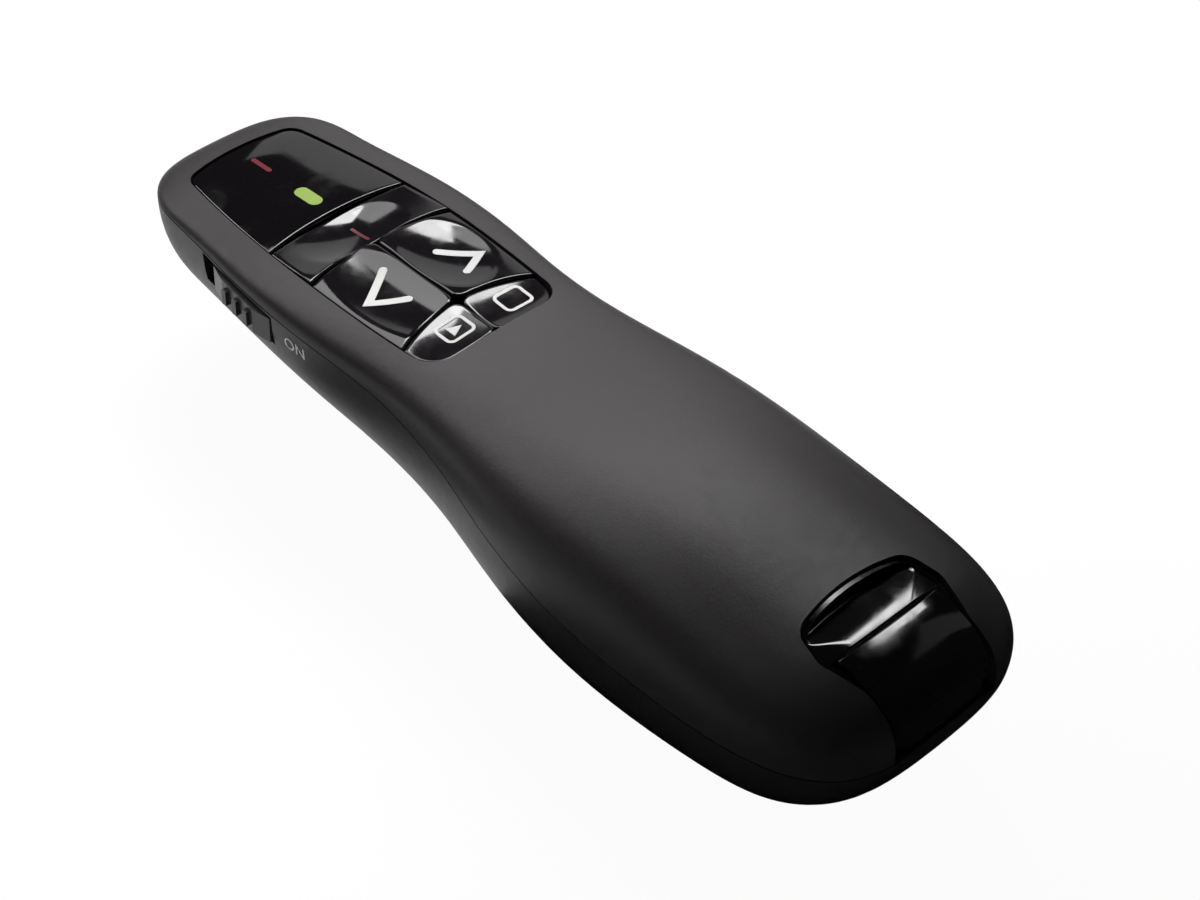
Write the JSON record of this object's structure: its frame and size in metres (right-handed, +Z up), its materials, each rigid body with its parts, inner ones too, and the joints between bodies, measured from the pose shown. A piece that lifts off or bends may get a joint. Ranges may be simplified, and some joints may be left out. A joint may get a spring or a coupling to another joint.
{
  "type": "wireless presentation clicker",
  "caption": "Hand-held wireless presenter: matte casing, gloss keys and status window, flank power slider, laser nose, battery door and a USB receiver docked in the tail.",
  "frame": {"origin": "on the resting plane, under the middle of the casing", "axes": "+Y to the laser end along the casing, +X to the holder's right, +Z up through the keys"},
  "size_m": [0.0364, 0.1156, 0.026],
  "materials": {
    "soft_casing": "soft-touch charcoal",
    "soft_casing_lower": "soft-touch charcoal",
    "smoked_window": "smoked gloss",
    "green_light": "lit green light guide",
    "red_light": "dim red light guide",
    "gloss_key": "polished black",
    "slider_plastic": "satin black",
    "gloss_dock": "polished black",
    "inner_plastic": "moulded black",
    "board": "green solder mask",
    "switch_metal": "stamped steel",
    "plunger_plastic": "white nylon",
    "chip": "moulded epoxy",
    "can_metal": "drawn can",
    "brass": "turned",
    "clear_lens": "clear",
    "cell": "plain jacket",
    "contact_metal": "plated spring steel",
    "receiver_plastic": "satin black",
    "plug_metal": "plated",
    "gold": "gold plated",
    "screw_metal": "black zinc"
  },
  "bodies": {
    "casing": {"top_shell": "soft_casing", "bottom_shell": "soft_casing_lower", "window_panel": "smoked_window", "green_light_guide": "green_light", "red_light_guide": "red_light", "receiver_dock": "gloss_dock", "keypad_frame": "inner_plastic", "main_board": "board", "key_switches": "switch_metal", "status_lights": "chip", "radio_chip": "chip", "crystal_can": "can_metal", "slide_switch_body": "switch_metal", "laser_barrel": "brass", "laser_lens": "clear_lens", "laser_diode": "can_metal", "aperture_window": "clear_lens", "battery_left": "cell", "battery_right": "cell", "contact_spring_left": "contact_metal", "contact_spring_right": "contact_metal", "rear_contact": "contact_metal", "front_contact": "contact_metal", "housing_screws": "screw_metal", "board_screws": "screw_metal"},
    "laser_key": {"laser_button": "gloss_key", "laser_plunger": "plunger_plastic"},
    "previous_key": {"previous_button": "gloss_key", "previous_plunger": "plunger_plastic"},
    "next_key": {"next_button": "gloss_key", "next_plunger": "plunger_plastic"},
    "slideshow_key": {"slideshow_button": "gloss_key", "slideshow_plunger": "plunger_plastic"},
    "blank_key": {"blank_button": "gloss_key", "blank_plunger": "plunger_plastic"},
    "slider": {"power_slider": "slider_plastic", "slide_switch_lever": "plunger_plastic"},
    "door": {"battery_door": "soft_casing_lower"},
    "receiver": {"receiver_upper_shell": "receiver_plastic", "receiver_lower_shell": "receiver_plastic", "usb_plug_shell": "plug_metal", "usb_tongue": "plunger_plastic", "usb_contacts": "gold", "receiver_board": "board"}
  },
  "joints": [
    {"name": "laser_press", "type": "slide", "parent": "casing", "child": "laser_key", "axis": [0, 0, -1], "range_m": [0, 0.00045], "stiffness_N_per_m": 3000},
    {"name": "previous_press", "type": "slide", "parent": "casing", "child": "previous_key", "axis": [0, 0, -1], "range_m": [0, 0.00045], "stiffness_N_per_m": 3000},
    {"name": "next_press", "type": "slide", "parent": "casing", "child": "next_key", "axis": [0, 0, -1], "range_m": [0, 0.00045], "stiffness_N_per_m": 3000},
    {"name": "slideshow_press", "type": "slide", "parent": "casing", "child": "slideshow_key", "axis": [0, 0, -1], "range_m": [0, 0.00045], "stiffness_N_per_m": 3000},
    {"name": "blank_press", "type": "slide", "parent": "casing", "child": "blank_key", "axis": [0, 0, -1], "range_m": [0, 0.00045], "stiffness_N_per_m": 3000},
    {"name": "power_slide", "type": "slide", "parent": "casing", "child": "slider", "axis": [0, 1, 0], "range_m": [0, 0.002]},
    {"name": "battery_door_slide", "type": "slide", "parent": "casing", "child": "door", "axis": [0, -1, 0], "range_m": [0, 0.055]},
    {"name": "receiver_pull", "type": "slide", "parent": "casing", "child": "receiver", "axis": [0, -1, 0], "range_m": [0, 0.06]}
  ]
}
